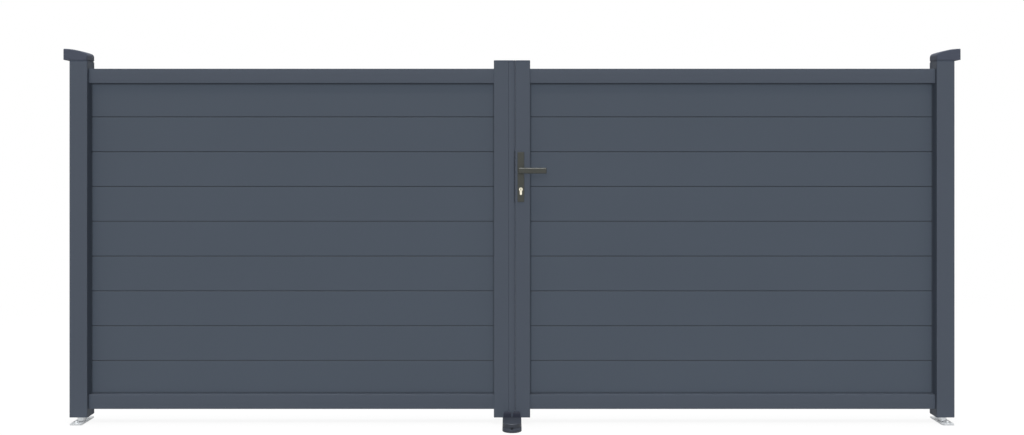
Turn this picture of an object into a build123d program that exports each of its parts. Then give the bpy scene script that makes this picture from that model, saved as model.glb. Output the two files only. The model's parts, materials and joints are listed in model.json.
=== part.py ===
from build123d import *
import os

# Double swing gate with boarded aluminium leaves, upper hinge brackets, ground pivots and a floor stop.
# Frame: X along the opening, -Y to the outside, Z up. The origin is on the ground at the middle of
# the opening, in the plane of the pivots. All sizes are in millimetres.

# Opening and heights
PASSAGE = 4000.0
LEAF_BOTTOM = 27.5
RUNNING_GAP = 5.0
FIT = 0.3

# Stiles
STILE_DEPTH = 78.0
HINGE_STILE_WIDTH = 80.0
MEETING_STILE_WIDTH = 66.0
STILE_WALL = 2.5
STILE_CORNER = 3.0
STILE_SLOT_DEPTH = 14.0
WALL_GAP = 26.0
END_FLANGE = 3.5
CAP_CROWN = 7.0
CAP_EDGE = 2.0
PLUG_LENGTH = 50.0
CAP_STUB = 25.0
COLLAR_INSET = 3.0
COLLAR_PLAY = 0.8

# Middle of the gate
MEETING_GAP = 7.0
STRIP_WIDTH = 23.0
STRIP_WALL = 2.5
STRIP_CROWN = 1.0

# Rails
RAIL_HEIGHT = 65.0
RAIL_INSET = 29.0
RAIL_SETBACK = 20.0
RAIL_LIP = 4.5
RAIL_WALL = 2.2
RAIL_CORNER = 2.0
BOTTOM_SLOT_DEPTH = 10.0
TOP_SEAT = 6.5
TOP_PLAY = 3.0

# Boards
BOARD_COUNT = 9
BOARD_PITCH = 156.8
BOARD_THICKNESS = 25.0
BOARD_SETBACK = 46.0
BOARD_WALL = 1.6
BOARD_BEVEL = 2.5
BOARD_END_PLAY = 2.0
TONGUE_HEIGHT = 8.0
TONGUE_THICKNESS = 9.0

# Upper hinge brackets
BRACKET_HEIGHT = 50.0
BRACKET_ARC_RADIUS = 275.0
BRACKET_NOSE_RADIUS = 18.0
BRACKET_EDGE = 3.5
BRACKET_WALL = 7.0
BRACKET_BOLT_RADIUS = 5.5
BRACKET_BOLT_SPACING = 42.0
BRACKET_BOLT_HEIGHT = 23.0
UPPER_PIN_RADIUS = 8.0
UPPER_PIN_RIB = 32.0
UPPER_PIN_SEAT = 20.0
PIN_ENGAGEMENT = 36.0

# Ground pivots
GROUND_PLATE_WIDTH = 54.0
GROUND_PLATE_LENGTH = 137.0
GROUND_PLATE_THICKNESS = 6.0
GROUND_PLATE_CORNER = 6.0
GROUND_BOLT_RADIUS = 5.5
GROUND_BOLT_SPACING = 105.0
GROUND_BOSS_RADIUS = 18.0
GROUND_PIN_RADIUS = 9.0

# Floor stop
STOP_WIDTH = 81.0
STOP_HEIGHT = 34.0
STOP_BLOCK_LENGTH = 127.0
STOP_FLANGE = 10.0
STOP_RIM = 4.0
STOP_FLANGE_REACH = 19.0
STOP_SIDE_REACH = 1.5
STOP_TAIL = 68.0
STOP_EDGE = 3.0
STOP_BOLT_RADIUS = 4.0
STOP_BOLT_HEAD = 6.5
STOP_BOLT_POCKET = 10.0
STOP_BOLT_EDGE = 18.0
STOP_TAIL_BOLT_Y = 30.0
BUFFER_WIDTH = 33.0
BUFFER_DEPTH = 16.0
BUFFER_HEIGHT = 24.0
BUFFER_SPACING = 42.0
BUFFER_EDGE = 6.0

# Lock
LOCK_BACKSET = 24.5
LOCK_HEIGHT = 1129.0
LOCK_PLATE_WIDTH = 29.5
LOCK_PLATE_HEIGHT = 222.0
LOCK_PLATE_THICKNESS = 9.0
LOCK_PLATE_ABOVE = 82.0
LOCK_PLATE_EDGE = 1.5
CYLINDER_DROP = 84.0
CYLINDER_RADIUS = 8.0
CYLINDER_STEM_WIDTH = 9.0
CYLINDER_HEIGHT = 32.5
CYLINDER_PROUD = 4.0
CASE_WIDTH = 41.0
CASE_THICKNESS = 18.0
CASE_HEIGHT = 194.0
FOREND_WIDTH = 24.0
FOREND_HEIGHT = 240.0
LATCH_HEIGHT = 30.0
LATCH_WIDTH = 13.0
BOLT_HEIGHT = 36.0
BOLT_WIDTH = 10.0
STRIKE_DEPTH = 13.0

# Lever handles
LEVER_LENGTH = 125.0
LEVER_OVERHANG = 12.0
LEVER_HEIGHT = 26.0
LEVER_THICKNESS = 16.0
LEVER_PROUD = 57.0
LEVER_EDGE = 5.0
LEVER_END = 2.5
LEVER_NECK_RADIUS = 10.0
SPINDLE_SIDE = 8.0
SPINDLE_SEAT = 24.0

# Planes and places that follow from the sizes above
half_passage = PASSAGE / 2
stile_front = -STILE_DEPTH / 2
stile_back = STILE_DEPTH / 2
board_stack = BOARD_COUNT * BOARD_PITCH
stile_tube = 2 * RAIL_INSET + 2 * RAIL_HEIGHT + board_stack - BOTTOM_SLOT_DEPTH - TOP_SEAT
tube_bottom = LEAF_BOTTOM + END_FLANGE
tube_top = tube_bottom + stile_tube
hinge_outer = -half_passage + WALL_GAP
hinge_inner = hinge_outer + HINGE_STILE_WIDTH
pivot_x = hinge_outer + HINGE_STILE_WIDTH / 2
meeting_edge = -(STRIP_WIDTH + MEETING_GAP) / 2
meeting_inner = meeting_edge - MEETING_STILE_WIDTH
strip_edge = meeting_edge + STRIP_WIDTH
board_front = stile_front + BOARD_SETBACK
board_back = board_front + BOARD_THICKNESS
board_middle = (board_front + board_back) / 2
slot_front = board_front - FIT
slot_back = board_back + FIT
slot_reach = STILE_SLOT_DEPTH - FIT
top_slot_depth = TOP_SEAT + TONGUE_HEIGHT + TOP_PLAY
rail_front = stile_front + RAIL_SETBACK
rail_back = slot_back + RAIL_LIP
bottom_rail_low = tube_bottom + RAIL_INSET
bottom_rail_high = bottom_rail_low + RAIL_HEIGHT
top_rail_high = tube_top - RAIL_INSET
top_rail_low = top_rail_high - RAIL_HEIGHT
board_stack_low = bottom_rail_high - BOTTOM_SLOT_DEPTH
hinge_top = tube_top + END_FLANGE
bracket_low = hinge_top + RUNNING_GAP
lock_x = -meeting_edge + LOCK_BACKSET
cylinder_z = LOCK_HEIGHT - CYLINDER_DROP
lock_mouths = ((LATCH_WIDTH, LATCH_HEIGHT, LOCK_HEIGHT), (BOLT_WIDTH, BOLT_HEIGHT, cylinder_z))
lock_plate_high = LOCK_HEIGHT + LOCK_PLATE_ABOVE
lock_plate_z = lock_plate_high - LOCK_PLATE_HEIGHT / 2
lock_plate_front = stile_front - LOCK_PLATE_THICKNESS
lever_front = stile_front - LEVER_PROUD
stop_back = stile_front - RUNNING_GAP
stop_nose = stop_back - STOP_BLOCK_LENGTH


def rectangle(x_low, x_high, y_low, y_high):
    """Flat rectangle between two corners."""
    centre = ((x_low + x_high) / 2, (y_low + y_high) / 2)
    return Pos(*centre) * Rectangle(x_high - x_low, y_high - y_low)


def block(x_low, x_high, y_low, y_high, z_low, z_high):
    """Box between two corners."""
    face = rectangle(x_low, x_high, y_low, y_high)
    return extrude(Pos(0, 0, z_low) * face, amount=z_high - z_low)


def cylinder_z_axis(x, y, radius, z_low, z_high):
    """Upright round bar."""
    return extrude(Pos(x, y, z_low) * Circle(radius), amount=z_high - z_low)


def cylinder_y_axis(x, z, radius, y_low, y_high):
    """Round bar from front to back."""
    face = Plane((x, y_low, z), x_dir=(1, 0, 0), z_dir=(0, 1, 0)) * Circle(radius)
    return extrude(face, amount=y_high - y_low)


def cavity_section(across, front, back, wall, slot_depth):
    """Hollow of a channelled profile: it leaves a wall round the board slot in the far side."""
    hollow = rectangle(wall, across - wall, front + wall, back - wall)
    channel = rectangle(across - slot_depth - wall, across, slot_front - wall, back)
    return hollow - channel


def channelled_section(across, front, back, wall, corner, slot_depth):
    """Extruded profile from x = 0 to across, with a slot for the boards open at x = across."""
    outer = rectangle(0, across, front, back)
    outer = fillet(outer.vertices(), corner)
    slot = rectangle(across - slot_depth, across, slot_front, slot_back)
    return outer - cavity_section(across, front, back, wall, slot_depth) - slot


def slot_filler(x_low, x_high, z_low, z_high):
    """Tongue that closes a stile's board slot above or below the rails."""
    return block(x_low, x_high, slot_front + FIT, slot_back - FIT, z_low, z_high)


def hinge_stile():
    """Square upright that carries the leaf on its pivots."""
    section = channelled_section(
        HINGE_STILE_WIDTH, stile_front, stile_back, STILE_WALL, STILE_CORNER, STILE_SLOT_DEPTH
    )
    return extrude(Pos(hinge_outer, 0, tube_bottom) * section, amount=stile_tube)


def hinge_stile_plugs():
    """Bearing plugs in both ends of the hinge stile, bored for the pins, with a collar on the upper one."""
    cavity = cavity_section(HINGE_STILE_WIDTH, stile_front, stile_back, STILE_WALL, STILE_SLOT_DEPTH)
    stub = Pos(hinge_outer, 0) * offset(cavity, amount=-FIT, kind=Kind.INTERSECTION)
    flange = rectangle(hinge_outer, hinge_inner, stile_front, stile_back)
    flange = chamfer(flange.vertices(), STILE_CORNER)
    lower = extrude(Pos(0, 0, LEAF_BOTTOM) * flange, amount=END_FLANGE)
    lower += extrude(Pos(0, 0, tube_bottom) * stub, amount=PLUG_LENGTH)
    lower += slot_filler(hinge_inner - slot_reach, hinge_inner, tube_bottom, bottom_rail_low)
    lower_bore = LEAF_BOTTOM + PIN_ENGAGEMENT + FIT
    lower -= cylinder_z_axis(pivot_x, 0, GROUND_PIN_RADIUS + FIT, LEAF_BOTTOM, lower_bore)
    upper = extrude(Pos(0, 0, tube_top) * flange, amount=END_FLANGE)
    upper += extrude(Pos(0, 0, tube_top - PLUG_LENGTH) * stub, amount=PLUG_LENGTH)
    upper += slot_filler(hinge_inner - slot_reach, hinge_inner, top_rail_high, tube_top)
    collar = rectangle(
        hinge_outer + COLLAR_INSET, hinge_inner - COLLAR_INSET,
        stile_front + COLLAR_INSET, stile_back - COLLAR_INSET,
    )
    upper += extrude(Pos(0, 0, hinge_top) * collar, amount=RUNNING_GAP - COLLAR_PLAY)
    upper_bore = hinge_top - PIN_ENGAGEMENT - FIT
    upper -= cylinder_z_axis(pivot_x, 0, UPPER_PIN_RADIUS + FIT, upper_bore, bracket_low)
    return Compound([lower.solid(), upper.solid()])


def meeting_stile():
    """Upright at the middle of the gate, with its board slot turned to the hinge side."""
    section = channelled_section(
        MEETING_STILE_WIDTH, stile_front, stile_back, STILE_WALL, STILE_CORNER, STILE_SLOT_DEPTH
    )
    section = mirror(section, about=Plane.YZ)
    return extrude(Pos(meeting_edge, 0, tube_bottom) * section, amount=stile_tube)


def meeting_stile_caps(cover_edge):
    """End caps of a meeting stile, with the flange carried on to cover_edge."""
    cavity = cavity_section(MEETING_STILE_WIDTH, stile_front, stile_back, STILE_WALL, STILE_SLOT_DEPTH)
    stub = offset(cavity, amount=-FIT, kind=Kind.INTERSECTION)
    stub = Pos(meeting_edge, 0) * mirror(stub, about=Plane.YZ)
    flange = rectangle(meeting_inner, cover_edge, stile_front, stile_back)
    flange = chamfer(flange.vertices(), STILE_CORNER)
    lower = extrude(Pos(0, 0, LEAF_BOTTOM) * flange, amount=END_FLANGE)
    lower += extrude(Pos(0, 0, tube_bottom) * stub, amount=CAP_STUB)
    lower += slot_filler(meeting_inner, meeting_inner + slot_reach, tube_bottom, bottom_rail_low)
    upper = extrude(Pos(0, 0, tube_top) * flange, amount=CAP_CROWN)
    upper = chamfer(upper.faces().sort_by(Axis.Z)[-1].edges(), CAP_EDGE)
    upper += extrude(Pos(0, 0, tube_top - CAP_STUB) * stub, amount=CAP_STUB)
    upper += slot_filler(meeting_inner, meeting_inner + slot_reach, top_rail_high, tube_top)
    return Compound([lower.solid(), upper.solid()])


def rail(low, slot_depth, slot_up):
    """Horizontal box rail between the stiles, with its board slot turned up or down."""
    section = channelled_section(RAIL_HEIGHT, rail_front, rail_back, RAIL_WALL, RAIL_CORNER, slot_depth)
    if slot_up:
        plane = Plane((meeting_inner, 0, low), x_dir=(0, 0, 1), z_dir=(-1, 0, 0))
    else:
        plane = Plane((hinge_inner, 0, low + RAIL_HEIGHT), x_dir=(0, 0, -1), z_dir=(1, 0, 0))
    return extrude(plane * section, amount=meeting_inner - hinge_inner)


def board_section():
    """Hollow board with bevelled edges, a tongue along its top and a groove along its bottom."""
    half = BOARD_THICKNESS / 2
    outer = rectangle(-half, half, 0, BOARD_PITCH)
    outer = chamfer(outer.vertices(), BOARD_BEVEL)
    groove_half = TONGUE_THICKNESS / 2 + FIT
    groove_depth = TONGUE_HEIGHT + FIT
    hollow = rectangle(
        -half + BOARD_WALL, half - BOARD_WALL, groove_depth + BOARD_WALL, BOARD_PITCH - BOARD_WALL
    )
    hollow = chamfer(hollow.vertices(), BOARD_BEVEL)
    tongue_half = TONGUE_THICKNESS / 2
    tongue = rectangle(-tongue_half, tongue_half, BOARD_PITCH, BOARD_PITCH + TONGUE_HEIGHT)
    groove = rectangle(-groove_half, groove_half, 0, groove_depth)
    return outer + tongue - hollow - groove


def board(index):
    """One board of the stack, counted from the bottom, with its ends in the stile slots."""
    reach = STILE_SLOT_DEPTH - BOARD_END_PLAY
    low = board_stack_low + index * BOARD_PITCH
    plane = Plane((hinge_inner - reach, board_middle, low), x_dir=(0, 1, 0), z_dir=(1, 0, 0))
    return extrude(plane * board_section(), amount=meeting_inner - hinge_inner + 2 * reach)


def meeting_strip():
    """Closing strip on the left leaf, a tube with a crowned front, cut out for the strike plate."""
    crown_edge = stile_front + STRIP_CROWN
    middle = (meeting_edge + strip_edge) / 2
    front = ThreePointArc((meeting_edge, crown_edge), (middle, stile_front), (strip_edge, crown_edge))
    sides = Polyline(
        (strip_edge, crown_edge), (strip_edge, stile_back),
        (meeting_edge, stile_back), (meeting_edge, crown_edge),
    )
    outer = make_face([front, sides])
    hollow = rectangle(
        meeting_edge + STRIP_WALL, strip_edge - STRIP_WALL, crown_edge + STRIP_WALL, stile_back - STRIP_WALL
    )
    strip = extrude(Pos(0, 0, tube_bottom) * (outer - hollow), amount=stile_tube)
    half_width = FOREND_WIDTH / 2 + FIT
    half_height = FOREND_HEIGHT / 2 + FIT
    cut = block(
        strip_edge - STRIP_WALL, strip_edge, -half_width, half_width,
        lock_plate_z - half_height, lock_plate_z + half_height,
    )
    return strip - cut


def bolt_mouth(x_low, x_high, width, height, z):
    """Upright block in the size of a latch or bolt mouth, centred on z."""
    return block(x_low, x_high, -width / 2, width / 2, z - height / 2, z + height / 2)


def strike_plate():
    """Strike in the strip: a flush plate with a keeper box behind its latch mouth and its bolt mouth."""
    plate_back = strip_edge - STRIP_WALL
    strike = bolt_mouth(plate_back, strip_edge, FOREND_WIDTH, FOREND_HEIGHT, lock_plate_z)
    box_back = plate_back - STRIKE_DEPTH
    for width, height, z in lock_mouths:
        strike += bolt_mouth(box_back, plate_back, width + 2 * STRIP_WALL, height + 2 * STRIP_WALL, z)
        strike -= bolt_mouth(box_back + STRIP_WALL, strip_edge, width, height, z)
    return strike


def cylinder_profile(grow):
    """Outline of the lock cylinder seen from the front: a round head over a narrow stem."""
    head = Circle(CYLINDER_RADIUS + grow)
    stem_low = CYLINDER_RADIUS - CYLINDER_HEIGHT
    half = CYLINDER_STEM_WIDTH / 2
    stem = fillet(rectangle(-half, half, stem_low, 0).vertices().group_by(Axis.Y)[0], half - FIT)
    if grow:
        stem = offset(stem, amount=grow, kind=Kind.INTERSECTION)
    return head + stem


def cylinder_bar(grow, y_low, y_high):
    """Bar of the cylinder's outline from front to back at its place in the lock."""
    plane = Plane((lock_x, y_high, cylinder_z), x_dir=(1, 0, 0), z_dir=(0, -1, 0))
    return extrude(plane * cylinder_profile(grow), amount=y_high - y_low)


def lock_stile():
    """Right meeting stile, cut out for the lock case, the spindle and the cylinder."""
    stile = mirror(meeting_stile(), about=Plane.YZ)
    half_width = FOREND_WIDTH / 2 + FIT
    half_height = FOREND_HEIGHT / 2 + FIT
    edge = -meeting_edge
    stile -= block(
        edge, edge + STILE_WALL, -half_width, half_width,
        lock_plate_z - half_height, lock_plate_z + half_height,
    )
    stile -= block(
        lock_x - LEVER_NECK_RADIUS, lock_x + LEVER_NECK_RADIUS, stile_front, stile_back,
        LOCK_HEIGHT - LEVER_NECK_RADIUS, LOCK_HEIGHT + LEVER_NECK_RADIUS,
    )
    window_half = CYLINDER_RADIUS + FIT
    window_high = cylinder_z + CYLINDER_RADIUS + FIT
    window_low = window_high - CYLINDER_HEIGHT - 2 * FIT
    return stile - block(
        lock_x - window_half, lock_x + window_half, stile_front, stile_back, window_low, window_high
    )


def lock_case():
    """Lock inside the right meeting stile: a case on a flush forend, with latch and bolt drawn back."""
    forend_front = -meeting_edge
    forend_back = forend_front + STILE_WALL
    forend = bolt_mouth(forend_front, forend_back, FOREND_WIDTH, FOREND_HEIGHT, lock_plate_z)
    for width, height, z in lock_mouths:
        forend -= bolt_mouth(forend_front, forend_back, width, height, z)
    case = bolt_mouth(forend_back, forend_front + CASE_WIDTH, CASE_THICKNESS, CASE_HEIGHT, lock_plate_z)
    half_case = CASE_THICKNESS / 2
    spindle_bore = cylinder_y_axis(lock_x, LOCK_HEIGHT, SPINDLE_SIDE, -half_case, half_case)
    return forend + case - spindle_bore - cylinder_bar(FIT, -half_case, half_case)


def lock_cylinder():
    """Profile cylinder, a little proud of the plates on both sides."""
    reach = -lock_plate_front + CYLINDER_PROUD
    return cylinder_bar(0, -reach, reach)


def lock_front_plate():
    """Long narrow lock plate on the outside of the stile."""
    half = LOCK_PLATE_WIDTH / 2
    low = lock_plate_high - LOCK_PLATE_HEIGHT
    plate = block(lock_x - half, lock_x + half, lock_plate_front, stile_front, low, lock_plate_high)
    plate = chamfer(plate.faces().sort_by(Axis.Y)[0].edges(), LOCK_PLATE_EDGE)
    plate -= cylinder_y_axis(lock_x, LOCK_HEIGHT, LEVER_NECK_RADIUS + FIT, lock_plate_front, stile_front)
    return plate - cylinder_bar(FIT, lock_plate_front, stile_front)


def front_lever():
    """Straight lever: a rounded bar on a round neck that turns in the lock plate."""
    start = lock_x - LEVER_OVERHANG
    bar_back = lever_front + LEVER_THICKNESS
    plane = Plane((start, lever_front + LEVER_THICKNESS / 2, LOCK_HEIGHT), x_dir=(0, 1, 0), z_dir=(1, 0, 0))
    bar = extrude(plane * RectangleRounded(LEVER_THICKNESS, LEVER_HEIGHT, LEVER_EDGE), amount=LEVER_LENGTH)
    ends = bar.faces().sort_by(Axis.X)
    bar = chamfer(ends[0].edges() + ends[-1].edges(), LEVER_END)
    neck_end = stile_front - FIT
    neck = cylinder_y_axis(lock_x, LOCK_HEIGHT, LEVER_NECK_RADIUS, bar_back - LEVER_EDGE, neck_end)
    side = SPINDLE_SIDE / 2 + FIT / 2
    socket = block(
        lock_x - side, lock_x + side, neck_end - SPINDLE_SEAT, neck_end,
        LOCK_HEIGHT - side, LOCK_HEIGHT + side,
    )
    return bar + neck - socket


def spindle():
    """Square bar that joins the two levers through the lock."""
    side = SPINDLE_SIDE / 2
    reach = -stile_front + SPINDLE_SEAT
    return block(lock_x - side, lock_x + side, -reach, reach, LOCK_HEIGHT - side, LOCK_HEIGHT + side)


def bracket_profile(inset):
    """Side of the upper bracket: a flat foot, a wall face and a top that falls in one arc to the nose."""
    wall = -half_passage + inset
    nose = hinge_inner - inset
    top = bracket_low + BRACKET_HEIGHT
    centre_z = top - BRACKET_ARC_RADIUS
    radius = BRACKET_ARC_RADIUS - inset
    crown = Pos(-half_passage, centre_z) * Circle(radius)
    return rectangle(wall, nose, bracket_low, top) & crown


def upper_bracket():
    """Cast hinge arm: a hood over the stile, open below, with a wall plate and a cross rib for the pin."""
    back_plane = Plane((0, stile_back, 0), x_dir=(1, 0, 0), z_dir=(0, -1, 0))
    body = extrude(back_plane * bracket_profile(0), amount=STILE_DEPTH)
    nose_edges = body.edges().filter_by(Axis.Y).group_by(Axis.X)[-1]
    body = fillet(nose_edges.sort_by(Axis.Z)[-1], BRACKET_NOSE_RADIUS)
    cheeks = body.faces().filter_by(Axis.Y)
    rim = cheeks.edges().filter_by(lambda edge: edge.center().X > FIT - half_passage)
    rim = rim.filter_by(lambda edge: edge.center().Z > bracket_low + FIT)
    body = chamfer(rim, BRACKET_EDGE)
    core_plane = Plane((0, stile_back - BRACKET_WALL, 0), x_dir=(1, 0, 0), z_dir=(0, -1, 0))
    core = extrude(core_plane * bracket_profile(BRACKET_WALL), amount=STILE_DEPTH - 2 * BRACKET_WALL)
    rib_half = UPPER_PIN_RIB / 2
    rib_top = bracket_low + BRACKET_HEIGHT
    core -= block(pivot_x - rib_half, pivot_x + rib_half, stile_front, stile_back, bracket_low, rib_top)
    body -= core
    seat_radius = UPPER_PIN_RADIUS + FIT / 2
    body -= cylinder_z_axis(pivot_x, 0, seat_radius, bracket_low, bracket_low + UPPER_PIN_SEAT)
    bolt_z = bracket_low + BRACKET_BOLT_HEIGHT
    for bolt_y in (-BRACKET_BOLT_SPACING / 2, BRACKET_BOLT_SPACING / 2):
        bolt_plane = Plane((-half_passage, bolt_y, bolt_z), x_dir=(0, 1, 0), z_dir=(1, 0, 0))
        body -= extrude(bolt_plane * Circle(BRACKET_BOLT_RADIUS), amount=BRACKET_WALL)
    return body


def upper_pin():
    """Steel pivot pin seated in the bracket's cross rib and running in the stile's upper plug."""
    return cylinder_z_axis(
        pivot_x, 0, UPPER_PIN_RADIUS, hinge_top - PIN_ENGAGEMENT, bracket_low + UPPER_PIN_SEAT
    )


def ground_pivot():
    """Ground plate with a boss and the lower pivot pin, bolted down in front of and behind the stile."""
    half_width = GROUND_PLATE_WIDTH / 2
    half_length = GROUND_PLATE_LENGTH / 2
    outline = rectangle(pivot_x - half_width, pivot_x + half_width, -half_length, half_length)
    outline = chamfer(outline.vertices(), GROUND_PLATE_CORNER)
    for bolt_y in (-GROUND_BOLT_SPACING / 2, GROUND_BOLT_SPACING / 2):
        outline -= Pos(pivot_x, bolt_y) * Circle(GROUND_BOLT_RADIUS)
    plate = extrude(outline, amount=GROUND_PLATE_THICKNESS)
    boss_top = LEAF_BOTTOM - RUNNING_GAP
    plate += cylinder_z_axis(pivot_x, 0, GROUND_BOSS_RADIUS, GROUND_PLATE_THICKNESS, boss_top)
    return plate + cylinder_z_axis(pivot_x, 0, GROUND_PIN_RADIUS, 0, LEAF_BOTTOM + PIN_ENGAGEMENT)


def tongue_outline(half_width, nose, tail):
    """Plan of the floor stop: straight sides from a square tail to a round nose."""
    shoulder = nose + half_width
    front = ThreePointArc((-half_width, shoulder), (0, nose), (half_width, shoulder))
    sides = Polyline(
        (half_width, shoulder), (half_width, tail), (-half_width, tail), (-half_width, shoulder)
    )
    return make_face([front, sides])


def floor_stop():
    """Floor stop: a raised block in front of the leaves, on a sloping flange that runs back under them."""
    half = STOP_WIDTH / 2
    flange_half = half + STOP_SIDE_REACH
    flange_nose = stop_nose - STOP_FLANGE_REACH
    rim_top = STOP_FLANGE + STOP_RIM
    stop = extrude(tongue_outline(flange_half, flange_nose, STOP_TAIL), amount=STOP_FLANGE)
    rim_foot = Pos(0, 0, STOP_FLANGE) * tongue_outline(flange_half, flange_nose, stop_back)
    rim_head = Pos(0, 0, rim_top) * tongue_outline(half, stop_nose, stop_back)
    stop += loft([rim_foot, rim_head], ruled=True)
    raised = extrude(rim_head, amount=STOP_HEIGHT - rim_top)
    stop += chamfer(raised.faces().sort_by(Axis.Z)[-1].edges(), STOP_EDGE)
    front_bolt = flange_nose + STOP_BOLT_EDGE
    stop -= cylinder_z_axis(0, front_bolt, STOP_BOLT_HEAD, STOP_FLANGE, STOP_FLANGE + STOP_BOLT_POCKET)
    for bolt_y in (front_bolt, STOP_TAIL_BOLT_Y):
        stop -= cylinder_z_axis(0, bolt_y, STOP_BOLT_RADIUS, 0, STOP_FLANGE)
    return stop


def stop_buffers():
    """Pair of rubber buffers on the stop's rear edge, one for each leaf."""
    back = stop_back - STOP_EDGE
    half = BUFFER_WIDTH / 2
    pads = []
    for middle in (-BUFFER_SPACING / 2, BUFFER_SPACING / 2):
        pad = block(
            middle - half, middle + half, back - BUFFER_DEPTH, back, STOP_HEIGHT, STOP_HEIGHT + BUFFER_HEIGHT
        )
        pads.append(chamfer(pad.faces().sort_by(Axis.Z)[-1].edges(), BUFFER_EDGE).solid())
    return Compound(pads)


def mirrored(shape):
    """The same piece on the right-hand side."""
    return mirror(shape, about=Plane.YZ)


def back_side(shape):
    """The same piece on the inside of the gate."""
    return mirror(shape, about=Plane.XZ)


def fixed_pieces():
    """Brackets, pins, ground pivots and the floor stop with its buffers."""
    return {
        "left_upper_bracket": upper_bracket(),
        "right_upper_bracket": mirrored(upper_bracket()),
        "left_upper_pin": upper_pin(),
        "right_upper_pin": mirrored(upper_pin()),
        "left_ground_pivot": ground_pivot(),
        "right_ground_pivot": mirrored(ground_pivot()),
        "floor_stop": floor_stop(),
        "stop_buffers": stop_buffers(),
    }


def leaf_pieces():
    """Both leaves: stiles with their plugs and caps, rails and boards."""
    pairs = {
        "hinge_stile": hinge_stile(),
        "hinge_stile_plugs": hinge_stile_plugs(),
        "top_rail": rail(top_rail_low, top_slot_depth, slot_up=False),
        "bottom_rail": rail(bottom_rail_low, BOTTOM_SLOT_DEPTH, slot_up=True),
    }
    for index in range(BOARD_COUNT):
        pairs[f"board_{index + 1}"] = board(index)
    pieces = {}
    for name, shape in pairs.items():
        pieces[f"left_{name}"] = shape
        pieces[f"right_{name}"] = mirrored(shape)
    pieces["left_meeting_stile"] = meeting_stile()
    pieces["left_meeting_stile_caps"] = meeting_stile_caps(strip_edge)
    pieces["right_meeting_stile"] = lock_stile()
    pieces["right_meeting_stile_caps"] = mirrored(meeting_stile_caps(meeting_edge))
    pieces["meeting_strip"] = meeting_strip()
    return pieces


def lock_pieces():
    """Lock, strike, plates and the pair of levers."""
    return {
        "strike_plate": strike_plate(),
        "lock_case": lock_case(),
        "lock_cylinder": lock_cylinder(),
        "lock_front_plate": lock_front_plate(),
        "lock_back_plate": back_side(lock_front_plate()),
        "front_lever": front_lever(),
        "back_lever": back_side(front_lever()),
        "lever_spindle": spindle(),
    }


os.makedirs("parts", exist_ok=True)
for pieces in (fixed_pieces(), leaf_pieces(), lock_pieces()):
    for node, shape in pieces.items():
        export_step(shape, f"parts/{node}.step")
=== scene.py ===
"""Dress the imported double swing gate: finishes, seal, fasteners, lock details and a white studio."""
from __future__ import annotations

import json
import logging
import math
from abc import ABC, abstractmethod
from dataclasses import dataclass
from enum import Enum
from typing import Any, Iterable

import bmesh
import bpy
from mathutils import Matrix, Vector


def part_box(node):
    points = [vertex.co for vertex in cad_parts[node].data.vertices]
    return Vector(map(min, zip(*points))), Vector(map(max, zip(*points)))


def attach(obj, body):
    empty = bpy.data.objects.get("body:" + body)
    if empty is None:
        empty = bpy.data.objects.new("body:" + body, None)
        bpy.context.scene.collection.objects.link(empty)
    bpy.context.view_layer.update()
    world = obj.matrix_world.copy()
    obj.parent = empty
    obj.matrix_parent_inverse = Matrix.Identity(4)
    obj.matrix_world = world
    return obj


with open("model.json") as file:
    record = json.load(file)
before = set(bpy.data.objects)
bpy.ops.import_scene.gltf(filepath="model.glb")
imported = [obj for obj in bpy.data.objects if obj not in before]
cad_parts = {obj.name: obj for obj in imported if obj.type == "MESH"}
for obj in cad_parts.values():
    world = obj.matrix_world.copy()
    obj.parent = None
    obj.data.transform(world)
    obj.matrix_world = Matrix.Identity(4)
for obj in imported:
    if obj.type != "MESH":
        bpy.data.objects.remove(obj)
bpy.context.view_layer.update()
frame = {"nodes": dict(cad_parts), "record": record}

LOG = logging.getLogger("gate")
MM = 0.001


class Body(Enum):
    """Rigid bodies that the added pieces ride on."""

    FIXED = "fixed"
    LEFT_LEAF = "left_leaf"
    RIGHT_LEAF = "right_leaf"


class Facing(Enum):
    """Direction that a fastener's head points to, as Euler angles that turn +Z there."""

    UP = (0.0, 0.0, 0.0)
    INSIDE = (-math.pi / 2, 0.0, 0.0)
    LEFT = (0.0, -math.pi / 2, 0.0)
    RIGHT = (0.0, math.pi / 2, 0.0)


class Role(Enum):
    """What a lamp adds: an even tone, a tone with shadows, or only the shine on edges."""

    FILL = "fill"
    SHADE = "shade"
    SHINE = "shine"


def linear(code: str) -> tuple[float, float, float, float]:
    """Turn an sRGB hex colour into linear RGBA.

    Args:
        code: Colour as "#rrggbb".

    Returns:
        Linear red, green, blue and an alpha of 1.
    """
    parts = [int(code[start:start + 2], 16) / 255 for start in (1, 3, 5)]
    values = [part / 12.92 if part <= 0.04045 else ((part + 0.055) / 1.055) ** 2.4 for part in parts]
    return (*values, 1.0)


def per_metre(size_mm: float) -> float:
    """Turn the real size of a pattern's feature, in millimetres, into a texture scale."""
    return 1 / (size_mm * MM)


def add_node(
    tree: bpy.types.NodeTree, kind: str, inputs: dict[Any, Any] | None = None, **settings: Any
) -> bpy.types.Node:
    """Add one node with its settings, input values and links.

    Args:
        tree: Tree that gets the node.
        kind: Blender's type name of the node.
        inputs: Input socket name or index to a value, or to the output socket that feeds it.
        settings: Attributes of the node.

    Returns:
        The new node.
    """
    node = tree.nodes.new(kind)
    for name, value in settings.items():
        setattr(node, name, value)
    for key, value in (inputs or {}).items():
        if isinstance(value, bpy.types.NodeSocket):
            tree.links.new(value, node.inputs[key])
        else:
            node.inputs[key].default_value = value
    return node


@dataclass(frozen=True)
class Patterns:
    """Sockets of a finish's patterns, each from 0 to 1."""

    tone: bpy.types.NodeSocket
    gloss: bpy.types.NodeSocket
    height: bpy.types.NodeSocket


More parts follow.
